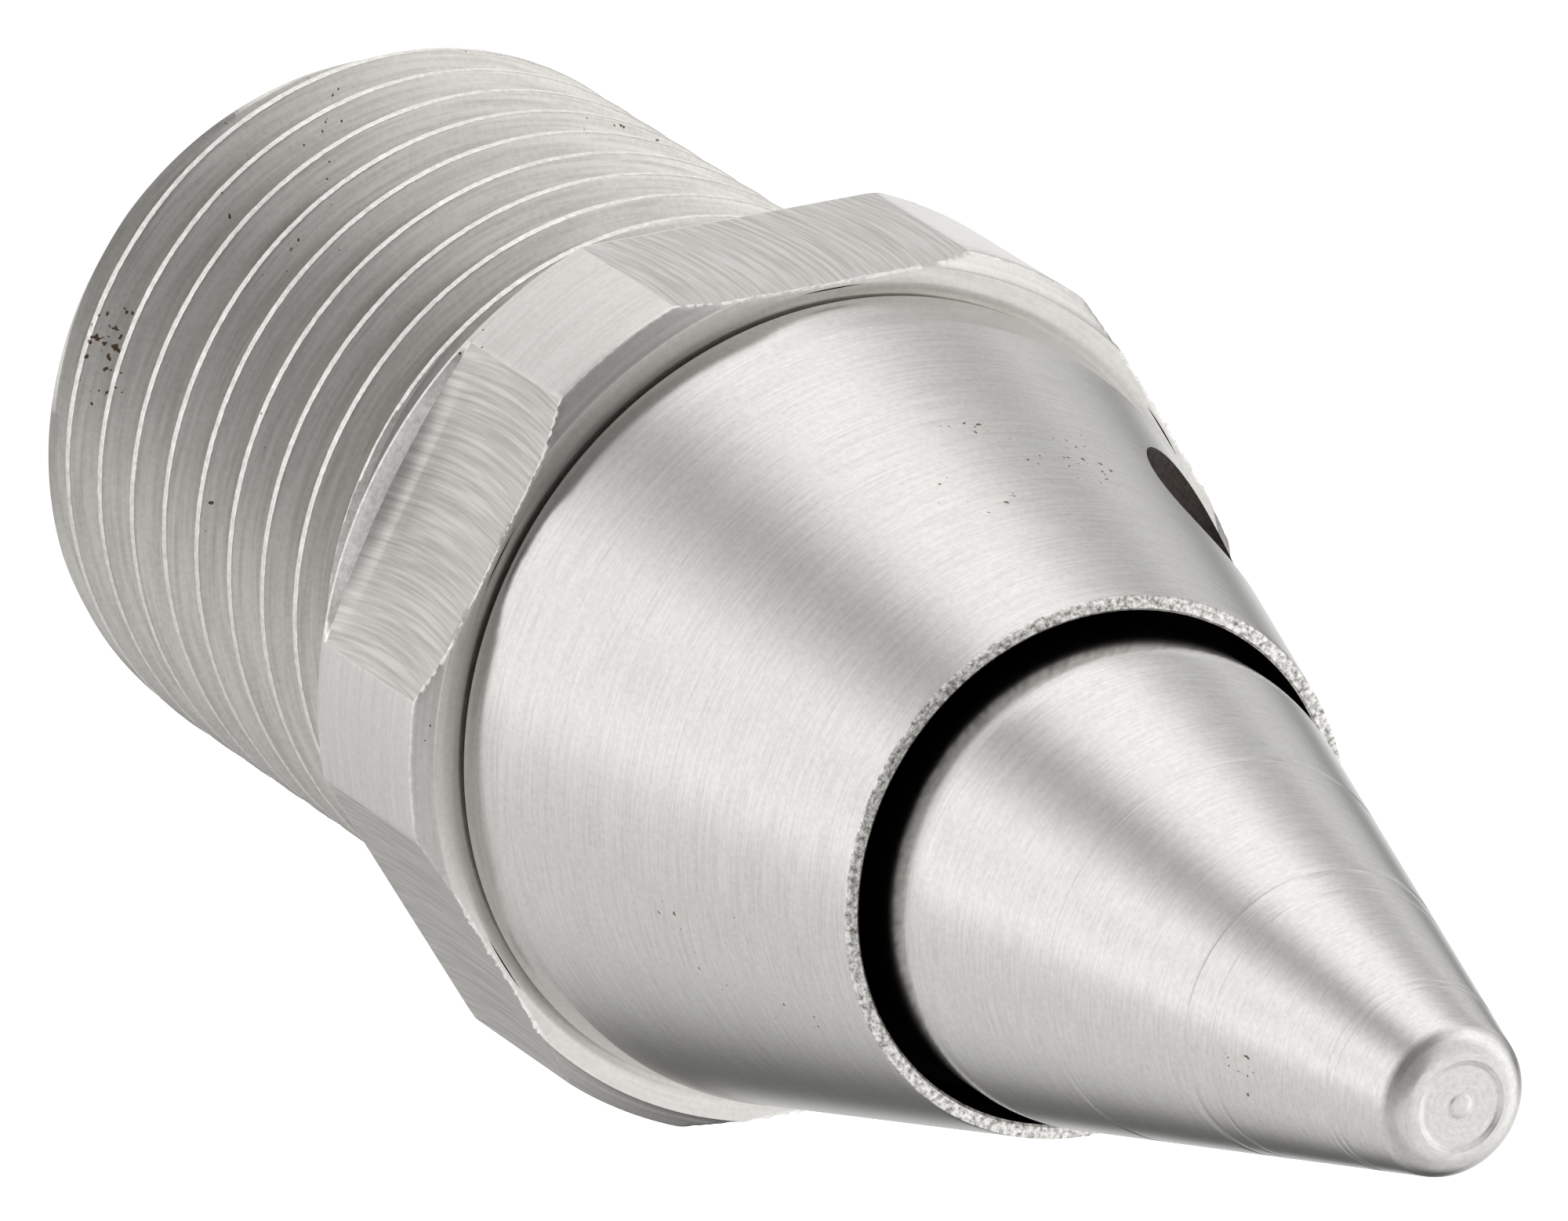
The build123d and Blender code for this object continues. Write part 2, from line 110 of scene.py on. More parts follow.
def pieceFrom(name, patches, smoothAngle):
    # patches are (points, faces, material slot of each face); touching edges are merged into one closed skin
    mesh = bpy.data.meshes.new(name)
    starts = np.cumsum([0] + [len(p[0]) for p in patches])
    points = np.concatenate([p[0] for p in patches])
    faces = np.concatenate([p[1] + s for p, s in zip(patches, starts)]).astype(np.int32)
    slots = np.concatenate([np.broadcast_to(p[2], len(p[1])) for p in patches]).astype(np.int32)
    mesh.vertices.add(len(points))
    mesh.vertices.foreach_set("co", points.astype(np.float32).ravel())
    mesh.loops.add(faces.size)
    mesh.loops.foreach_set("vertex_index", faces.ravel())
    mesh.polygons.add(len(faces))
    mesh.polygons.foreach_set("loop_start", np.arange(0, faces.size, 4, dtype=np.int32))
    mesh.polygons.foreach_set("material_index", slots)
    mesh.update(calc_edges=True)
    bm = bmesh.new()
    bm.from_mesh(mesh)
    bmesh.ops.remove_doubles(bm, verts=bm.verts, dist=0.0004 * mm)
    bmesh.ops.dissolve_degenerate(bm, edges=bm.edges, dist=0.0002 * mm)
    bmesh.ops.recalc_face_normals(bm, faces=bm.faces)
    bm.to_mesh(mesh)
    bm.free()
    mesh.polygons.foreach_set("use_smooth", np.ones(len(mesh.polygons), dtype=bool))
    mesh.set_sharp_from_angle(angle=math.radians(smoothAngle))
    piece = bpy.data.objects.new(name, mesh)
    bpy.context.scene.collection.objects.link(piece)
    return piece


def along(first, last, steps):  # straight run of rows between two (radius, height) corners, without the last
    return [(first[0] + (last[0] - first[0]) * k / steps, first[1] + (last[1] - first[1]) * k / steps)
            for k in range(steps)]


# Steels: one builder, told what each surface's tool left
steels = {
    # alloy steel finished by a fine turning cut: bright, with close rings and streaks along the piece
    "fineTurnedSteel": {
        "colour": "#D2D1CE", "shade": "#C0BEBB", "roughness": 0.21, "anisotropic": 0.75,
        "ringSpacing": 0.07, "ringStrength": 0.055, "ringSize": 0.0008, "around": 5.0, "grain": 0.45,
        "speckColour": "#6A5A48", "speckShare": -0.03},
    # the same cut on the cap, a shade duller
    "fineTurnedCapSteel": {
        "colour": "#D0CFCC", "shade": "#BDBBB7", "roughness": 0.22, "anisotropic": 0.75,
        "ringSpacing": 0.08, "ringStrength": 0.055, "ringSize": 0.0008, "around": 5.0, "grain": 0.45,
        "speckColour": "#6A5A48", "speckShare": -0.04},
    # the lip's thin face, torn by the parting tool: pitted and sparkling
    "tornLipSteel": {
        "colour": "#EFEEEB", "shade": "#77726C", "roughness": 0.4, "anisotropic": 0.0,
        "ringSpacing": 0.2, "ringStrength": 0.9, "ringSize": 0.003, "around": 60.0, "grain": 1.0,
        "speckColour": "#5A4D40", "speckShare": 0.02},
    # rolled edges and thread crests: real burrs, and painted highlight, a lighter steel that makes them the
    # brightest lines of the piece, uneven and sparkling
    "burrAndPaintedHighlightSteel": {
        "colour": "#E9E8E5", "shade": "#C6C3BE", "roughness": 0.34, "anisotropic": 0.3,
        "ringSpacing": 0.25, "ringStrength": 0.35, "ringSize": 0.002, "around": 30.0, "grain": 0.7,
        "speckColour": "#7A6A58", "speckShare": 0.0},
    # bored inside of the cap, painted near black: painted shade of the deep gap
    "paintedShadeBoreSteel": {
        "colour": "#1B1918", "shade": "#0E0D0C", "roughness": 0.6, "anisotropic": 0.0,
        "ringSpacing": 0.2, "ringStrength": 0.1, "ringSize": 0.001, "around": 2.0, "grain": 0.3,
        "speckColour": "#0C0B0A", "speckShare": 0.0},
    # the same steel where a threading tool tore it a little: greyer, with rough crests
    "cutThreadSteel": {
        "colour": "#C6C4BF", "shade": "#ABA8A3", "roughness": 0.3, "anisotropic": 0.45,
        "ringSpacing": 0.14, "ringStrength": 0.12, "ringSize": 0.0012, "around": 3.0, "grain": 0.35,
        "speckColour": "#5C4C3C", "speckShare": 0.0},
    # the drilled wall of the spanner hole: dull, painted dark brownish grey as painted shade in the hole
    "paintedShadeHoleSteel": {
        "colour": "#4A4440", "shade": "#2A2623", "roughness": 0.5, "anisotropic": 0.0,
        "ringSpacing": 0.2, "ringStrength": 0.3, "ringSize": 0.004, "around": 2.0, "grain": 0.5,
        "speckColour": "#3C3128", "speckShare": 0.03},
    # collar faces and facets between the flats: smooth, plain and light
    "turnedShankSteel": {
        "colour": "#D2D0CC", "shade": "#C2BFBB", "roughness": 0.3, "anisotropic": 0.5,
        "ringSpacing": 0.12, "ringStrength": 0.04, "ringSize": 0.001, "around": 4.0, "grain": 0.5,
        "speckColour": "#5C4C3C", "speckShare": -0.02},
}


def turnedSteel(name):
    look = steels[name]
    material, tree, shader = newMaterial(name)
    where = addNode(tree, "TexCoord").outputs["Object"]
    parts = addNode(tree, "SeparateXYZ", {}, {0: where})
    flat = addNode(tree, "CombineXYZ", {}, {0: parts.outputs[0], 1: parts.outputs[1]})
    radius = addNode(tree, "VectorMath", {"operation": "LENGTH"}, {0: flat.outputs[0]})
    direction = addNode(tree, "VectorMath", {"operation": "NORMALIZE"}, {0: flat.outputs[0]})
    path = addNode(tree, "Math", {"operation": "SUBTRACT"}, {0: parts.outputs[2], 1: radius.outputs["Value"]})
    rings = addNode(tree, "Math", {"operation": "MULTIPLY", 1: 1 / (look["ringSpacing"] * mm)},
                    {0: path.outputs[0]})
    sides = addNode(tree, "VectorMath", {"operation": "SCALE", "Scale": look["around"]},
                    {0: direction.outputs[0]})
    sideParts = addNode(tree, "SeparateXYZ", {}, {0: sides.outputs[0]})
    ringPlace = addNode(tree, "CombineXYZ", {},
                        {0: sideParts.outputs[0], 1: sideParts.outputs[1], 2: rings.outputs[0]})
    ringNoise = addNode(tree, "TexNoise", {"Scale": 1.0, "Detail": 3.0, "Roughness": 0.6},
                        {0: ringPlace.outputs[0]})
    grain = addNode(tree, "TexNoise", {"Scale": 1 / (0.12 * mm), "Detail": 4.0, "Roughness": 0.65},
                    {0: where})
    relief = addNode(tree, "Mix", {"data_type": "FLOAT", 0: look["grain"]},
                     {2: ringNoise.outputs[0], 3: grain.outputs[0]})
    bump = addNode(tree, "Bump", {"Strength": look["ringStrength"], "Distance": look["ringSize"] * mm * 10},
                   {"Height": relief.outputs[0]})
    share = addNode(tree, "MapRange", {1: 0.32, 2: 0.6}, {0: relief.outputs[0]})
    tones = {"data_type": "RGBA", 6: linearColour(look["shade"]), 7: linearColour(look["colour"])}
    tint = addNode(tree, "Mix", tones, {0: share.outputs[0]})
    # small brown specks of old oil and handling, under 0.1 mm across
    speckNoise = addNode(tree, "TexNoise", {"Scale": 1 / (0.16 * mm), "Detail": 1.0}, {0: where})
    patches = addNode(tree, "TexNoise", {"Scale": 1 / (4.0 * mm), "Detail": 1.0}, {0: where})
    both = addNode(tree, "Math", {"operation": "MULTIPLY"}, {0: speckNoise.outputs[0], 1: patches.outputs[0]})
    limit = 0.48 - look["speckShare"]
    speckMask = addNode(tree, "MapRange", {1: limit, 2: limit + 0.02}, {0: both.outputs[0]})
    colour = addNode(tree, "Mix", {"data_type": "RGBA", 7: linearColour(look["speckColour"])},
                     {0: speckMask.outputs[0], 6: tint.outputs[2]})
    tangent = addNode(tree, "Tangent", {"direction_type": "RADIAL", "axis": "Z"})
    shader.inputs["Metallic"].default_value = 1.0
    shader.inputs["Roughness"].default_value = look["roughness"]
    shader.inputs["Anisotropic"].default_value = look["anisotropic"]
    shader.inputs["Anisotropic Rotation"].default_value = 0.0
    tree.links.new(colour.outputs[2], shader.inputs["Base Color"])
    tree.links.new(bump.outputs[0], shader.inputs["Normal"])
    tree.links.new(tangent.outputs[0], shader.inputs["Tangent"])
    return material


# Shank: cut thread, relief, milled collar and spigot, hollow for its bearings
shank = {
    "threadPitch": 1.5, "threadPhase": 1.24, "threadDepth": 0.92, "rootFlat": 0.25, "crestSoftness": 0.012,
    "crestBurr": 0.02, "endChamfer": 1.02, "reliefLength": 2.02, "reliefSlope": 0.93, "reliefRadius": 6.95,
    "collarLength": 4.51, "acrossFlats": 18.1, "rearEdge": 0.05, "frontEdge": 0.4, "flatBurr": 0.07,
    "lipLength": 0.13, "lipWall": 0.1, "runOut": 0.8, "runOutShare": 0.42, "edgeCorner": 0.06,
    "burrLength": 0.14, "spigotRadius": 7.0, "threadRadius": 8.0, "seatRadius": 8.7, "webThickness": 2.0,
    "plugStep": 4.8, "flankAngle": 30, "undercutEnd": 8.3,
    # undercut beside the cap, as (radius, depth)
    "undercut": ((8.96, 0), (8.9, 0.006), (8.83, 0.02), (8.75, 0.04), (8.65, 0.05), (8.45, 0.05)),
    "ringFloorRadius": 6.3, "ringGroove": 1.0, "spigotEdge": 0.2, "thrustBoreRadius": 5.05,
    "thrustSeat": 17.63,
    "webHoleRadius": 2.65, "needleSeatRadius": 4.01, "plugBoreRadius": 4.52, "plugBoreChamfer": 0.3,
}


def shankPiece():
    s = shank
    threadRadius, spigotRadius = s["threadRadius"], s["spigotRadius"]
    pitch = s["threadPitch"]
    collarRadius = highMm["shank_body"][1]
    collarFront = lowMm["nose_cap"][2]
    spigotEnd = highMm["shank_body"][2]
    collarRear = collarFront - s["collarLength"]
    reliefStart = collarRear - s["reliefLength"]
    angles = np.linspace(0, turn, columns + 1)
    lift = pitch * angles / turn

    # the rows of the thread climb with it, one pitch a turn, so that its edges stay crisp
    flankRise = math.tan(math.radians(s["flankAngle"]))
    half = pitch / 2
    rootHalf = s["rootFlat"] / 2
    crestHalf = half - rootHalf - s["threadDepth"] * flankRise
    offsets = np.concatenate([
        np.linspace(0, rootHalf, 3), np.linspace(rootHalf, half - crestHalf, 7)[1:-1],
        np.linspace(half - crestHalf - 0.03, half - crestHalf + 0.03, 5), [half - crestHalf / 2, half]])
    offsets = np.concatenate([-offsets[::-1], offsets[1:-1]])
    burrs = np.array([1 + 0.6 * waver(2, 900 * k / columns) + 0.8 * waver(3, 260 * k / columns)
                      for k in range(columns + 1)])
    burrs[-1] = burrs[0]
    rows = []
    for k in range(-2, int(reliefStart / pitch) + 2):
        for u in offsets:
            heights = np.clip(s["threadPhase"] + k * pitch + u + lift, 0, reliefStart)
            fromGroove = np.abs((heights - s["threadPhase"] - lift + half) % pitch - half)
            rise = np.maximum(fromGroove - rootHalf, 0) / flankRise
            radii = softMin(threadRadius - s["threadDepth"] + rise, threadRadius, s["crestSoftness"])
            worn = np.clip((radii - threadRadius + 0.05) / 0.05, 0, 1) * s["crestBurr"]
            turned = (np.arange(columns + 1) + 211 * (k + 3)) % columns  # each turn has its own burrs
            radii = radii - worn * np.clip(burrs[turned], 0, 1.6) / 2
            radii = np.minimum(radii, threadRadius - s["endChamfer"] + heights)
            slope = (threadRadius - s["reliefRadius"]) / s["reliefSlope"]
            radii = np.minimum(radii, s["reliefRadius"] + (reliefStart - heights) * slope)
            rows.append((radii, heights))
    threadPoints, threadFaces = patch(rows, columns)
    onCrest = np.abs(offsets) > half - crestHalf - 0.01
    rowOf = np.repeat(np.arange(len(rows) - 1), columns)
    crests = onCrest[rowOf % len(offsets)] & onCrest[(rowOf + 1) % len(offsets)]

    # collar: round where the corners are left, flat where the cutter went
    flatEdge = s["acrossFlats"] / 2
    sixth = turn / 6
    toFlat = flatEdge / np.cos((angles + sixth / 2) % sixth - sixth / 2)
    onFlat = toFlat < collarRadius - 0.01
    burr = np.array([max(0.0, 0.3 + waver(5, 240 * a / turn) + 0.9 * waver(6, 1050 * a / turn))
                     for a in angles])
    burr[-1] = burr[0]
    edge, corner = s["frontEdge"], s["edgeCorner"]
    # the cutter stopped just short of the rear of the flats across X, and left a thin lip
    across = np.abs((angles + turn / 4) % (turn / 2) - turn / 4) < sixth / 2
    collar = [(s["reliefRadius"], h) for h in (reliefStart, reliefStart + 1, collarRear)]
    collar += along((s["reliefRadius"], collarRear), (s["seatRadius"], collarRear), 4)
    firstFlatRow = len(collar)
    sides = [(collarRadius - s["rearEdge"], collarRear), (collarRadius, collarRear + s["rearEdge"])]
    lipEnd = s["lipLength"] + s["lipWall"]
    sides += [(collarRadius, collarRear + s["lipLength"] + s["lipWall"] * f)
              for f in (0, 0.2, 0.4, 0.6, 0.8, 1)]
    sides += [(collarRadius, collarRear + h) for h in (0.26, 0.32, 0.38, 0.44, 0.5, 0.57, 0.64, 0.72)]
    sides += [(collarRadius, h) for h in np.linspace(collarRear + 1.0, collarFront - edge - corner, 8)]
    # broken front edge: a flat bevel between two small rounded corners
    outer = [(0, 0.12 * corner), (0.5 * corner, 0.35 * corner), (corner, 0.8 * corner)]
    sides += [(collarRadius - inward, collarFront - edge + forward) for forward, inward in outer]
    bevelRow = firstFlatRow + len(sides)
    sides += [(collarRadius - edge * f, collarFront - edge * (1 - f)) for f in (0.35, 0.5, 0.65)]
    sides += [(collarRadius - edge + 0.8 * corner, collarFront - 1.2 * corner),
              (collarRadius - edge + 0.35 * corner, collarFront - 0.5 * corner),
              (collarRadius - edge + 0.1 * corner, collarFront - 0.2 * corner),
              (collarRadius - edge, collarFront)]
    for radius, height in sides:
        nearFront = max(0.0, 1 - (collarFront - height) / s["burrLength"])
        aboveRear = height - collarRear
        steep = min(1.0, max(0.0, (lipEnd - aboveRear) / s["lipWall"]))
        gentle = min(1.0, max(0.0, (s["runOut"] - aboveRear) / (s["runOut"] - lipEnd)))
        wall = s["runOutShare"] * gentle ** 2 + (1 - s["runOutShare"]) * steep
        cut = toFlat + onFlat * burr * s["flatBurr"] * nearFront + across * wall * (collarRadius - toFlat)
        collar.append((softMin(np.full(columns + 1, radius), cut, 0.01), np.full(columns + 1, height)))
    lastFlatRow = len(collar) - 1
    for inset in (0.04, 0.12):
        radius = collarRadius - edge - inset
        inner = softMin(np.full(columns + 1, radius), toFlat - inset, 0.012)
        collar.append((inner, np.full(columns + 1, collarFront)))
    collar += [(radius, collarFront - depth) for radius, depth in s["undercut"]]
    collar += along((s["undercutEnd"], collarFront), (s["ringFloorRadius"], collarFront), 6)
    webLow = s["thrustSeat"] - s["webThickness"]
    collar += [
        (s["ringFloorRadius"], collarFront), (s["ringFloorRadius"], collarFront + s["ringGroove"]),
        (spigotRadius, collarFront + s["ringGroove"]), (spigotRadius, spigotEnd - s["spigotEdge"]),
        (spigotRadius - s["spigotEdge"], spigotEnd), (s["thrustBoreRadius"], spigotEnd),
        (s["thrustBoreRadius"], s["thrustSeat"]), (s["webHoleRadius"], s["thrustSeat"]),
        (s["webHoleRadius"], webLow), (s["needleSeatRadius"], webLow),
        (s["needleSeatRadius"], s["plugStep"]), (s["plugBoreRadius"], s["plugStep"]),
        (s["plugBoreRadius"], s["plugBoreChamfer"]),
        (s["plugBoreRadius"] + s["plugBoreChamfer"], 0), (threadRadius - s["endChamfer"] - 0.05, 0),
        (threadRadius - s["endChamfer"], 0)]
    collarPoints, collarFaces = patch(collar, columns)
    rowOf = np.repeat(np.arange(len(collar) - 1), columns)
    columnOf = np.tile(np.arange(columns), len(collar) - 1)
    # which tool made each face: slot 0 turned, 2 milled, 3 rolled edge; slot 3 is also painted highlight: a
    # lighter steel on the flats' front edges, the lip behind the flats across X and the bevel's first corner
    rest = len(collar) - lastFlatRow
    sideHeight = np.array([-1.0] * firstFlatRow + [height for radius, height in sides] + [99.0] * rest)
    sideRadius = np.array([0.0] * firstFlatRow + [radius for radius, height in sides]
                          + [collarRadius - edge] * rest)
    flatFace = toFlat[columnOf] < np.minimum(sideRadius[rowOf], sideRadius[rowOf + 1]) - 0.004
    onLip = across[columnOf] & (sideHeight[rowOf] < collarRear + s["lipLength"] + 0.9 * s["lipWall"])
    milled = (rowOf > firstFlatRow) & (rowOf < lastFlatRow) & flatFace & ~onLip
    # the flats' front edges: real burr, painted lighter as painted highlight
    burrAndHighlight = flatFace & (sideHeight[rowOf] > collarFront - s["burrLength"]) & (rowOf <= lastFlatRow)
    # the thin lip behind the flats across X is painted lighter: painted highlight
    burrAndHighlight |= flatFace & onLip & (rowOf > firstFlatRow) & (rowOf < lastFlatRow)
    # the bevel's first rounded corner is painted lighter: painted highlight along the edge
    burrAndHighlight |= ~flatFace & (rowOf >= bevelRow - 3) & (rowOf < bevelRow - 1)
    slots = np.where(burrAndHighlight, 3, np.where(milled, 2, 0))
    # the thread's crest faces take slot 3: painted highlight along the crests
    piece = pieceFrom("cutShank", [(threadPoints, threadFaces, np.where(crests, 3, 1)),
                                   (collarPoints, collarFaces, slots)], 28)
    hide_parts("shank_body")
    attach(piece, "housing")
    return piece


shankObject = shankPiece()
print("shank built:", len(shankObject.data.polygons), "faces")

# Nose cap: rim band, cone and thin lip, with a blind hole for a pin spanner
cap = {
    "rimLength": 1.32, "rimTaper": 7.6, "rimEdge": 0.12, "lipWall": 0.315, "lipEdge": 0.05,
    "lipRoughness": 0.012,
    "mouthRadius": 7.17, "boreRadius": 7.02, "boreEnd": 24.43, "seatRadius": 5.51, "springTop": 29.83,
    "shoulderTop": 30.33, "shoulderRadius": 4.79, "halfAngle": 15.3,
    "holeDiameter": 4.2, "holeDepth": 1.2, "holeAngle": -114.9, "holeFromLip": 6.1,
}


def capPiece():
    c = cap
    count = 720
    low, high = lowMm["nose_cap"][2], highMm["nose_cap"][2]
    rim = highMm["nose_cap"][0]
    coneBase = low + c["rimLength"]
    coneRadius = rim - c["rimLength"] * math.tan(math.radians(c["rimTaper"]))
    slope = math.tan(math.radians(c["halfAngle"]))
    lip = coneRadius - (high - coneBase) * slope
    bore = lip - c["lipWall"]
    rough = np.array([waver(8, 700 * k / count) for k in range(count + 1)]) * c["lipRoughness"]
    rough[-1] = rough[0]
    rows = [(c["mouthRadius"], low)] + along((c["mouthRadius"] + 0.1, low), (rim - c["rimEdge"], low), 3)
    rows += [(rim - c["rimEdge"], low), (rim - 0.3 * c["rimEdge"], low + 0.3 * c["rimEdge"]),
             (rim, low + c["rimEdge"])]
    rows += along((rim - 0.002, low + c["rimEdge"] + 0.02), (coneRadius + 0.004, coneBase - 0.02), 4)
    rows += [(coneRadius + 0.004, coneBase - 0.02), (coneRadius - 0.002, coneBase + 0.012)]
    start = coneBase + 0.05
    rows += along((coneRadius - 0.05 * slope, start), (lip, high - c["lipEdge"]), 40)
    rows += [(lip, high - c["lipEdge"]), (lip - 0.3 * c["lipEdge"], high - 0.3 * c["lipEdge"]),
             (lip - c["lipEdge"], high - 0.008 + 0.5 * rough)]
    rows += [(lip - c["lipWall"] * f, high - 0.01 + 0.8 * rough * (-1) ** k)
             for k, f in enumerate((0.35, 0.5, 0.65))]
    rows += [(bore + c["lipEdge"], high - 0.008), (bore, high - c["lipEdge"]), (bore, c["shoulderTop"]),
             (c["shoulderRadius"], c["shoulderTop"]), (c["shoulderRadius"], c["springTop"]),
             (c["seatRadius"], c["springTop"]), (c["seatRadius"], c["boreEnd"]),
             (c["boreRadius"], c["boreEnd"]),
             (c["boreRadius"], low + 0.15), (c["mouthRadius"], low)]
    points, faces = patch(rows, count)
    radii = np.array([np.mean(r) for r, _ in rows])
    levels = np.array([np.mean(h) for _, h in rows])
    rowSlots = np.zeros(len(rows) - 1, dtype=int)
    rowSlots[(levels[:-1] > high - c["lipEdge"] - 0.001) & (levels[1:] > high - c["lipEdge"] - 0.001)] = 2
    lipInside = int(np.argmax((radii <= bore + 1e-6) & (levels < high - 0.5 * c["lipEdge"])))
    # every row inside the lip takes the near-black bore steel: painted shade of the deep gap
    rowSlots[lipInside:] = 3
    piece = pieceFrom("turnedCap", [(points, faces, np.repeat(rowSlots, count))], 24)

    # cutter for the blind hole, with a small chamfer that breaks the corner of its floor
    holeHeight = high - c["holeFromLip"]
    floorRadius = coneRadius - (holeHeight - coneBase) * slope - c["holeDepth"]
    hole = c["holeDiameter"] / 2
    reach = c["holeDepth"] + 2
    cutRows = [(0.001, 0), (hole * 0.6, 0), (hole - 0.03, 0), (hole, 0.03), (hole, reach), (0.001, reach)]
    cutPoints, cutFaces = patch(cutRows, 128)
    cutter = pieceFrom("holeCutter", [(cutPoints, cutFaces, 0)], 30)
    outward = Vector((math.cos(math.radians(c["holeAngle"])), math.sin(math.radians(c["holeAngle"])), 0))
    place = outward.to_track_quat("Z", "Y").to_matrix().to_4x4()
    place.translation = outward * floorRadius * mm + Vector((0, 0, holeHeight * mm))
    bm = bmesh.new()
    bm.from_mesh(cutter.data)
    bmesh.ops.holes_fill(bm, edges=[e for e in bm.edges if e.is_boundary], sides=0)
    bmesh.ops.transform(bm, matrix=place, verts=bm.verts)
    bmesh.ops.recalc_face_normals(bm, faces=bm.faces)
    bm.to_mesh(cutter.data)
    bm.free()
    for name in ("fineTurnedCapSteel", "paintedShadeHoleSteel", "tornLipSteel", "paintedShadeBoreSteel"):
        piece.data.materials.append(turnedSteel(name))
    # the hole's wall takes the dark hole steel: painted shade in the hole
    cutter.data.materials.append(piece.data.materials[1])
    carve = piece.modifiers.new("spannerHole", "BOOLEAN")
    carve.object = cutter
    carve.operation = "DIFFERENCE"
    carve.solver = "EXACT"
    carve.material_mode = "TRANSFER"
    carved = bpy.data.meshes.new_from_object(piece.evaluated_get(bpy.context.evaluated_depsgraph_get()))
    piece.modifiers.clear()
    piece.data = carved
    bpy.data.objects.remove(cutter)
    carved.set_sharp_from_angle(angle=math.radians(24))
    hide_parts("nose_cap")
    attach(piece, "housing")
    return piece


capObject = capPiece()
print("nose cap built:", len(capObject.data.polygons), "faces,", len(capObject.data.materials), "materials")

# Point spindle: journals, neck and head, then the cone with its scribed rings and faced tip
point = {
    "tailRadius": 2.0, "tailChamfer": 0.3, "grooveRadius": 1.6, "grooveLow": 6.71, "grooveHigh": 7.13,
    "stepLow": 15.83, "stepHigh": 16.13, "frontRadius": 2.5, "journalEnd": 29.33, "neckRadius": 3.356,
    "headLow": 30.95, "headChamfer": 0.15, "baseAboveLip": 1.51, "halfAngle": 15.08, "baseBlend": 0.4,
    "tipRound": 0.71, "faceDip": 0.05, "pipRadius": 0.27, "ringPitch": 0.16, "ringDepth": 0.008,
    "scribedAt": (37.9, 41.7, 42.35, 45.5, 45.72), "scribeWidth": 0.08, "scribeDepth": 0.014,
}


def pointPiece():
    p = point
    count = 720
    low, high = lowMm["point_spindle"][2], highMm["point_spindle"][2]
    head = highMm["point_spindle"][0]
    base = highMm["nose_cap"][2] + p["baseAboveLip"]
    slope = math.tan(math.radians(p["halfAngle"]))
    rows = [(0.001, low), (p["tailRadius"] - p["tailChamfer"], low),
            (p["tailRadius"], low + p["tailChamfer"]), (p["tailRadius"], p["grooveLow"]),
            (p["grooveRadius"], p["grooveLow"]), (p["grooveRadius"], p["grooveHigh"]),
            (p["tailRadius"], p["grooveHigh"]), (p["tailRadius"], p["stepLow"]),
            (p["frontRadius"], p["stepHigh"]), (p["frontRadius"], p["journalEnd"]),
            (p["neckRadius"], p["journalEnd"]), (p["neckRadius"], p["headLow"]),
            (head - p["headChamfer"], p["headLow"]), (head, p["headLow"] + p["headChamfer"]),
            (head, base - p["baseBlend"])]
    # the cone starts with a long soft curve
    for k in range(1, 13):
        t = 2 * p["baseBlend"] * k / 12
        rows.append((head - slope * t * t / (4 * p["baseBlend"]), base - p["baseBlend"] + t))
    # the cone, with each scribed ring cut into it
    roundAngle = math.radians(90 - p["halfAngle"])
    tipCorner = head - (high - base) * slope
    setback = p["tipRound"] * math.tan(roundAngle / 2)
    coneEnd = high - setback * math.cos(math.radians(p["halfAngle"]))
    heights = set(np.linspace(base + p["baseBlend"] + 0.1, coneEnd, 60))
    for ring in p["scribedAt"]:
        heights |= {ring + p["scribeWidth"] * f for f in (-0.5, -0.2, 0.2, 0.5)}
    for h in sorted(heights):
        cut = max([max(0.0, 1 - abs(h - ring) / (0.5 * p["scribeWidth"])) for ring in p["scribedAt"]])
        rows.append((head - (h - base) * slope - p["scribeDepth"] * cut, h))
    # rounded corner
    centre = (tipCorner - setback, high - p["tipRound"])
    for k in range(1, 17):
        t = math.radians(p["halfAngle"]) + roundAngle * k / 16
        rows.append((centre[0] + p["tipRound"] * math.cos(t), centre[1] + p["tipRound"] * math.sin(t)))
    # faced disc a little below the pip, with the rings the facing tool left
    face = centre[0]
    sag = p["faceDip"]
    for k in range(1, 41):
        r = face - (face - p["pipRadius"]) * k / 40
        ring = p["ringDepth"] * (0.5 + 0.5 * math.cos(turn * (face - r) / p["ringPitch"]))
        ring *= 0.7 + 0.5 * waver(11, r * 9)
        dip = sag * min(1.0, (face - r) / 0.12)
        rows.append((r, high - dip - ring * min(1.0, (face - r) / 0.1)))
    for k in range(1, 13):
        r = p["pipRadius"] * (1 - k / 12)
        rise = sag * (1 - (r / p["pipRadius"]) ** 3)
        rows.append((max(r, 0.001), high - sag + rise))
    points, faces = patch(rows, count)
    piece = pieceFrom("turnedPoint", [(points, faces, 0)], 24)
    bm = bmesh.new()
    bm.from_mesh(piece.data)
    bmesh.ops.holes_fill(bm, edges=[e for e in bm.edges if e.is_boundary], sides=0)
    bm.to_mesh(piece.data)
    bm.free()
    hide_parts("point_spindle")
    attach(piece, "spindle")
    return piece


pointObject = pointPiece()
print("point built:", len(pointObject.data.polygons), "faces")

# Milled flats: a face mill 21 mm across leaves arcs over each flat, about 0.1 mm apart
milling = {"colour": "#CBC9C5", "shade": "#B0ADA8", "roughness": 0.42, "arcRadius": 10.7, "arcMiddle": 19.5,
           "arcSpacing": 0.1, "arcSize": 0.007, "arcStrength": 0.3, "stretch": 3.0}


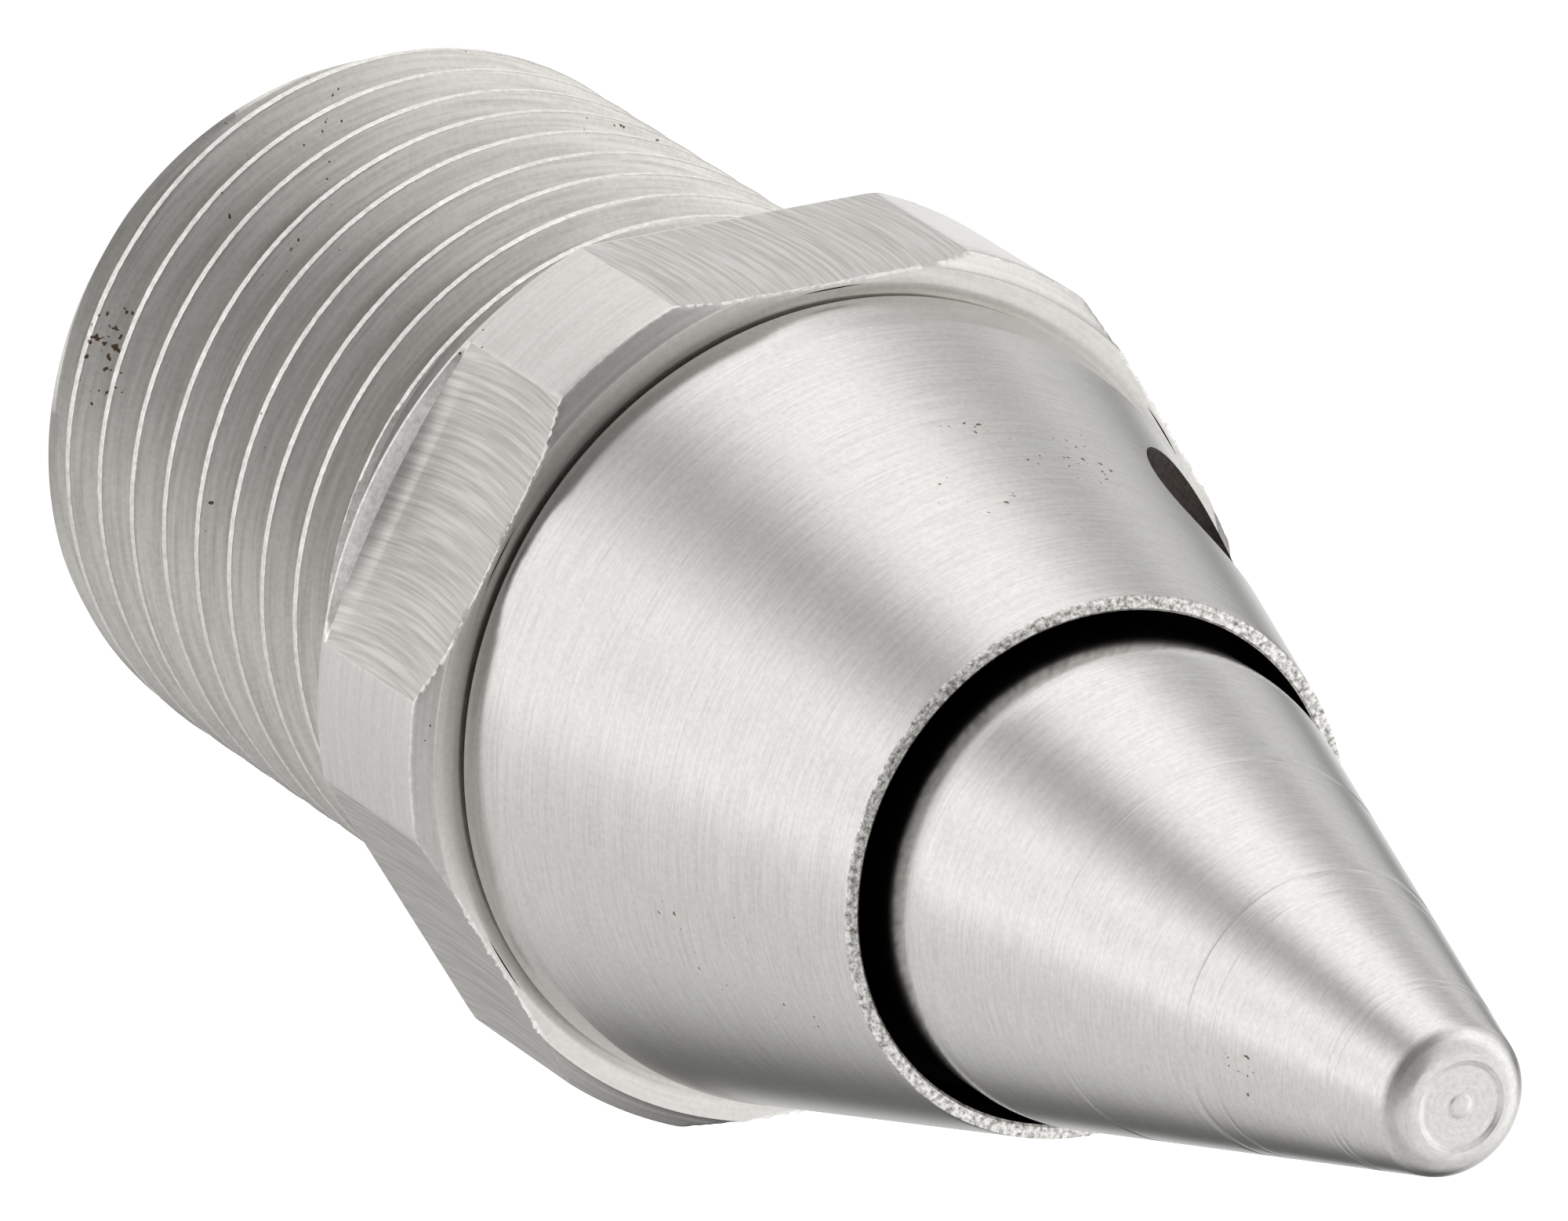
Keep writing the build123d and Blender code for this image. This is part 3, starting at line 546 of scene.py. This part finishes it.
def faceMilledSteel():
    look = milling
    material, tree, shader = newMaterial("faceMilledSteel")
    where = addNode(tree, "TexCoord").outputs["Object"]
    parts = addNode(tree, "SeparateXYZ", {}, {0: where})
    angle = addNode(tree, "Math", {"operation": "ARCTAN2"}, {0: parts.outputs[1], 1: parts.outputs[0]})
    # the nearest flat's own azimuth, then the distance along that flat
    sixths = addNode(tree, "Math", {"operation": "MULTIPLY", 1: 6 / turn}, {0: angle.outputs[0]})
    nearest = addNode(tree, "Math", {"operation": "ROUND"}, {0: sixths.outputs[0]})
    facing = addNode(tree, "Math", {"operation": "MULTIPLY", 1: turn / 6}, {0: nearest.outputs[0]})
    sine = addNode(tree, "Math", {"operation": "SINE"}, {0: facing.outputs[0]})
    cosine = addNode(tree, "Math", {"operation": "COSINE"}, {0: facing.outputs[0]})
    yPart = addNode(tree, "Math", {"operation": "MULTIPLY"}, {0: parts.outputs[1], 1: cosine.outputs[0]})
    xPart = addNode(tree, "Math", {"operation": "MULTIPLY"}, {0: parts.outputs[0], 1: sine.outputs[0]})
    along = addNode(tree, "Math", {"operation": "SUBTRACT"}, {0: yPart.outputs[0], 1: xPart.outputs[0]})
    rise = addNode(tree, "Math", {"operation": "SUBTRACT", 1: look["arcMiddle"] * mm}, {0: parts.outputs[2]})
    square = addNode(tree, "Math", {"operation": "MULTIPLY"}, {0: rise.outputs[0], 1: rise.outputs[0]})
    rest = addNode(tree, "Math", {"operation": "SUBTRACT", 0: (look["arcRadius"] * mm) ** 2},
                   {1: square.outputs[0]})
    reach = addNode(tree, "Math", {"operation": "SQRT"}, {0: rest.outputs[0]})
    arc = addNode(tree, "Math", {"operation": "ADD"}, {0: along.outputs[0], 1: reach.outputs[0]})
    count = addNode(tree, "Math", {"operation": "MULTIPLY", 1: 1 / (look["arcSpacing"] * mm)},
                    {0: arc.outputs[0]})
    slow = addNode(tree, "Math", {"operation": "MULTIPLY", 1: 1 / (look["stretch"] * mm)},
                   {0: parts.outputs[2]})
    place = addNode(tree, "CombineXYZ", {}, {0: count.outputs[0], 1: slow.outputs[0], 2: nearest.outputs[0]})
    arcs = addNode(tree, "TexNoise", {"Scale": 1.0, "Detail": 4.0, "Roughness": 0.6}, {0: place.outputs[0]})
    bump = addNode(tree, "Bump", {"Strength": look["arcStrength"], "Distance": look["arcSize"] * mm},
                   {"Height": arcs.outputs[0]})
    share = addNode(tree, "MapRange", {1: 0.38, 2: 0.62}, {0: arcs.outputs[0]})
    tones = {"data_type": "RGBA", 6: linearColour(look["shade"]), 7: linearColour(look["colour"])}
    tint = addNode(tree, "Mix", tones, {0: share.outputs[0]})
    shader.inputs["Metallic"].default_value = 1.0
    shader.inputs["Roughness"].default_value = look["roughness"]
    tree.links.new(tint.outputs[2], shader.inputs["Base Color"])
    tree.links.new(bump.outputs[0], shader.inputs["Normal"])
    return material


# Finishes of the pieces inside and of the rear plug
inner = {
    # bright ground steel, the cleanest surface inside
    "groundRaceSteel": {
        "colour": "#C4C5C7", "shade": "#8E9092", "metallic": 1.0, "roughness": 0.2, "grain": 0.2},
    # polished until it mirrors
    "polishedBallSteel": {
        "colour": "#D6D7D9", "shade": "#B4B6B8", "metallic": 1.0, "roughness": 0.08, "grain": 0.5},
    # pressed strip, dull and slightly yellow
    "pressedCageSteel": {
        "colour": "#B9B4A8", "shade": "#8A857A", "metallic": 1.0, "roughness": 0.4, "grain": 0.3},
    # tempered dark
    "temperedSpringSteel": {
        "colour": "#6E6A68", "shade": "#4A4746", "metallic": 1.0, "roughness": 0.35, "grain": 0.3},
    # plain steel, handled and grey
    "plainPlugSteel": {
        "colour": "#8C8A88", "shade": "#5F5D5B", "metallic": 1.0, "roughness": 0.38, "grain": 0.25},
    # black moulded rubber with a soft sheen
    "mouldedSealRubber": {
        "colour": "#1E1D1C", "shade": "#121111", "metallic": 0.0, "roughness": 0.6, "grain": 0.2},
}
innerSlots = {
    "race_steel": "groundRaceSteel", "ball_steel": "polishedBallSteel", "cage_steel": "pressedCageSteel",
    "spring_steel": "temperedSpringSteel", "plug_steel": "plainPlugSteel",
    "seal_rubber": "mouldedSealRubber",
}


def innerFinish(name):
    look = inner[name]
    material, tree, shader = newMaterial(name)
    where = addNode(tree, "TexCoord").outputs["Object"]
    fine = addNode(tree, "TexNoise", {"Scale": 1 / (look["grain"] * mm), "Detail": 4.0}, {0: where})
    share = addNode(tree, "MapRange", {1: 0.3, 2: 0.7}, {0: fine.outputs[0]})
    tones = {"data_type": "RGBA", 6: linearColour(look["shade"]), 7: linearColour(look["colour"])}
    tint = addNode(tree, "Mix", tones, {0: share.outputs[0]})
    bump = addNode(tree, "Bump", {"Strength": 0.15, "Distance": 0.01 * mm}, {"Height": fine.outputs[0]})
    shader.inputs["Metallic"].default_value = look["metallic"]
    shader.inputs["Roughness"].default_value = look["roughness"]
    tree.links.new(tint.outputs[2], shader.inputs["Base Color"])
    tree.links.new(bump.outputs[0], shader.inputs["Normal"])
    return material


for piece, names in ((shankObject, ("turnedShankSteel", "cutThreadSteel")),
                     (pointObject, ("fineTurnedSteel",))):
    for name in names:
        piece.data.materials.append(turnedSteel(name))
shankObject.data.materials.append(faceMilledSteel())
# slot 3: the lighter burr steel, painted highlight on crests, edges and the lip
shankObject.data.materials.append(turnedSteel("burrAndPaintedHighlightSteel"))

finishes = {slot: innerFinish(name) for slot, name in innerSlots.items()}
for part in frame["record"]["subparts"]:
    if part["material_slot"] in finishes:
        node = frame["nodes"][part["node"]]
        node.data.materials.clear()
        node.data.materials.append(finishes[part["material_slot"]])
print("materials built")

# Studio: pale floor, pale backdrop, and a sky of soft light strips around the piece
studio = {
    "floorColour": "#F6F6F4", "floorGlow": 0.75, "backdropColour": "#F4F4F3", "backdropGlow": 1.0,
    # degrees round the piece from the camera's side, and brightness: from steeply below up to overhead
    "steepStrips": ((-180, 1.35), (-130, 1.3), (-90, 1.12), (0, 1.08), (60, 0.95), (120, 0.72), (165, 0.8)),
    "lowStrips": (
        (-180, 1.0), (-164, 1.2), (-150, 0.2), (-136, 0.72), (-118, 0.95), (-106, 0.66), (-90, 0.85),
        (-72, 1.5), (-46, 1.5), (-34, 0.9), (-24, 0.5), (-12, 0.85), (4, 1.5), (20, 1.3), (40, 1.5),
        (52, 1.05), (70, 0.95), (94, 0.9), (114, 0.65), (132, 0.2), (152, 0.1), (166, 0.9)),
    "highStrips": (
        (-180, 1.35), (-130, 1.7), (-90, 1.6), (-70, 1.05), (-50, 0.4), (0, 0.25), (30, 0.48), (60, 0.75),
        (130, 0.7), (165, 1.0)),
    "topStrips": (
        (-180, 1.25), (-110, 1.2), (-66, 0.95), (-35, 0.45), (0, 0.4), (35, 0.5), (66, 0.95), (110, 1.0)),
    "reach": 1200,
}


def strips(tree, turnPlace, stops, cameraSide):
    ramp = addNode(tree, "ValToRGB", {}, {0: turnPlace})
    elements = ramp.color_ramp.elements
    placed = sorted((((cameraSide + angle) / 360 + 0.5) % 1.0, level) for angle, level in stops)
    while len(elements) < len(placed):
        elements.new(0.5)
    for element, (position, level) in zip(elements, placed):
        element.position = position
        element.color = (level / 2, level / 2, level / 2, 1)
    first, last = placed[0], placed[-1]
    elements[0].position = 0.0
    elements[-1].position = 1.0
    meet = (first[1] + last[1]) / 4
    elements[0].color = elements[-1].color = (meet, meet, meet, 1)
    return ramp


def buildStudio(cameraSide):
    look = studio
    world = bpy.data.worlds.new("softStrips")
    bpy.context.scene.world = world
    world.use_nodes = True
    tree = world.node_tree
    parts = addNode(tree, "SeparateXYZ", {}, {0: addNode(tree, "TexCoord").outputs["Generated"]})
    angle = addNode(tree, "Math", {"operation": "ARCTAN2"}, {0: parts.outputs[1], 1: parts.outputs[0]})
    place = addNode(tree, "Math", {"operation": "MULTIPLY_ADD", 1: 1 / turn, 2: 0.5}, {0: angle.outputs[0]})
    # from one height's strips to the next: (strips of the upper height, from, to), as upward directions
    steps = (("lowStrips", -0.83, -0.72), ("highStrips", -0.2, 0.25), ("topStrips", 0.55, 0.7))
    light = strips(tree, place.outputs[0], look["steepStrips"], cameraSide).outputs[0]
    for upper, start, end in steps:
        above = strips(tree, place.outputs[0], look[upper], cameraSide)
        share = addNode(tree, "MapRange", {1: start, 2: end}, {0: parts.outputs[2]})
        mixed = addNode(tree, "Mix", {"data_type": "RGBA"},
                        {0: share.outputs[0], 6: light, 7: above.outputs[0]})
        light = mixed.outputs[2]
    background = tree.nodes["Background"]
    background.inputs["Strength"].default_value = 2.0
    tree.links.new(light, background.inputs[0])

    for name, colour, glow in (("paintedFloor", look["floorColour"], look["floorGlow"]),
                               ("paintedBackdrop", look["backdropColour"], look["backdropGlow"])):
        material, tree, shader = newMaterial(name)
        where = addNode(tree, "TexCoord").outputs["Object"]
        shade = addNode(tree, "TexNoise", {"Scale": 3.0, "Detail": 2.0}, {0: where})
        tones = {"data_type": "RGBA", 6: linearColour(colour), 7: linearColour("#FBFBFA")}
        tone = addNode(tree, "Mix", tones, {0: shade.outputs[0]})
        shader.inputs["Roughness"].default_value = 0.9
        shader.inputs["Specular IOR Level"].default_value = 0.0
        shader.inputs["Emission Strength"].default_value = glow
        tree.links.new(tone.outputs[2], shader.inputs["Base Color"])
        tree.links.new(tone.outputs[2], shader.inputs["Emission Color"])
    reach = look["reach"]
    rings = [(r, 0) for r in (0.001, 100, 400, reach)]
    floorPoints, floorFaces = patch(rings, 96)
    floor = pieceFrom("floor", [(floorPoints, floorFaces, 0)], 30)
    dome = [(reach * math.cos(math.radians(t)), reach * math.sin(math.radians(t))) for t in range(0, 90, 5)]
    dome.append((0.001, reach))
    domePoints, domeFaces = patch(dome, 96)
    backdrop = pieceFrom("backdrop", [(domePoints, domeFaces, 0)], 60)
    floor.data.materials.append(bpy.data.materials["paintedFloor"])
    backdrop.data.materials.append(bpy.data.materials["paintedBackdrop"])
    floor.visible_glossy = False
    for hidden in ("visible_glossy", "visible_diffuse", "visible_shadow", "visible_transmission"):
        setattr(backdrop, hidden, False)


# Camera: looks down past the point along the piece
view = {"side": -8.6, "tilt": 55.47, "slant": 33.05, "distance": 476.3, "right": 6.358, "down": 5.230,
        "lens": 540, "sensor": 36}


def buildCamera():
    tilt, slant, side = (math.radians(view[k]) for k in ("tilt", "slant", "side"))
    # the row's axes as the camera sees them: right, down, away
    up = Vector((math.cos(tilt) * math.cos(slant), math.cos(tilt) * math.sin(slant), -math.sin(tilt)))
    towards = (Vector((0, 0, -1)) + up * up.z).normalized()
    across = up.cross(towards)
    xAxis = towards * math.cos(side) - across * math.sin(side)
    yAxis = towards * math.sin(side) + across * math.cos(side)
    rows = Matrix((xAxis, yAxis, up))
    lipCentre = Vector((0, 0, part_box("nose_cap")[1].z))
    seen = Vector((view["right"], view["down"], view["distance"])) * mm
    aims = (Vector((1, 0, 0)), Vector((0, -1, 0)), Vector((0, 0, -1)))  # the camera's own axes
    pose = Matrix([rows @ aim for aim in aims]).transposed().to_4x4()
    pose.translation = lipCentre - rows @ seen
    data = bpy.data.cameras.new("camera")
    data.lens = view["lens"]
    data.sensor_width = view["sensor"]
    data.clip_end = 10
    camera = bpy.data.objects.new("camera", data)
    camera.matrix_world = pose
    bpy.context.scene.collection.objects.link(camera)
    bpy.context.scene.camera = camera


buildStudio(view["side"])
buildCamera()
bpy.context.scene.view_settings.view_transform = "Standard"
print("studio and camera set")
